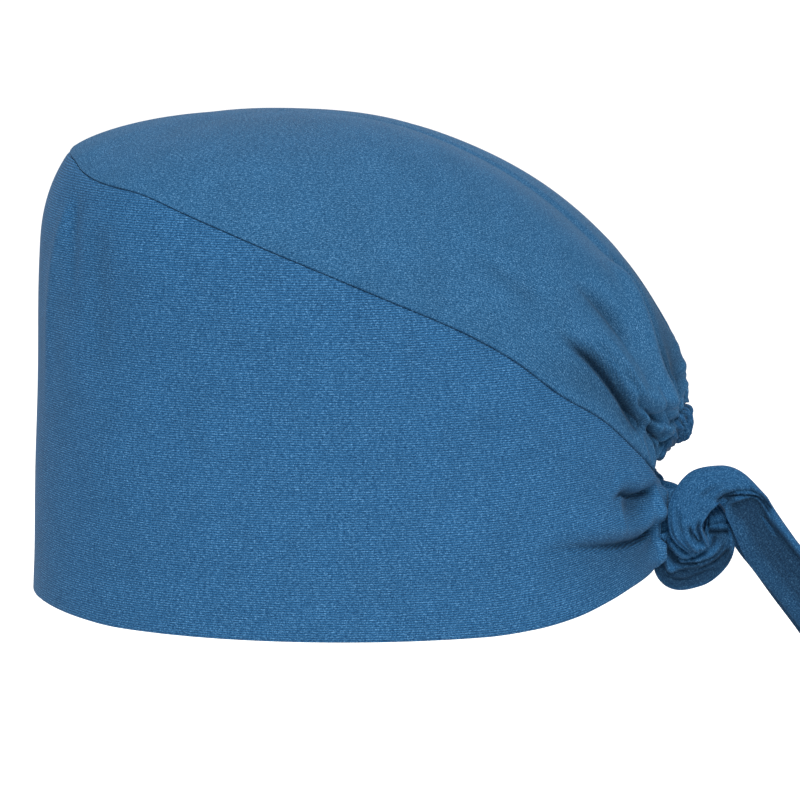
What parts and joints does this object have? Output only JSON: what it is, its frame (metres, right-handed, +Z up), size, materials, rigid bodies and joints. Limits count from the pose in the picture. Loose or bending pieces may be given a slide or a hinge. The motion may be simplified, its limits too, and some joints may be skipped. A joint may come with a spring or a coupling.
{
  "type": "scrub cap",
  "caption": "Tie-back cloth cap for medical staff: tall side band, gathered crown with an elastic at the nape, and two ties in a half knot.",
  "frame": {"origin": "the middle of the opening for the head, level with the lower edge of the band, where the cap sits on a head", "axes": "+Z up to the crown, -X to the forehead, +X to the nape and the knot, -Y to the wearer's left ear"},
  "size_m": [0.3034, 0.1598, 0.2536],
  "materials": {
    "band_cloth": "fine plain-weave cotton blend, matt, steel blue",
    "crown_cloth": "the same cloth, slightly faded along the top",
    "casing_cloth": "the same cloth, ruffled over an elastic and stitched",
    "tie_cloth": "the same cloth, folded into a flat tie"
  },
  "bodies": {
    "root": {"side_band": "band_cloth", "crown": "crown_cloth", "elastic_casing": "casing_cloth", "left_tie": "tie_cloth", "right_tie": "tie_cloth"}
  },
  "joints": []
}
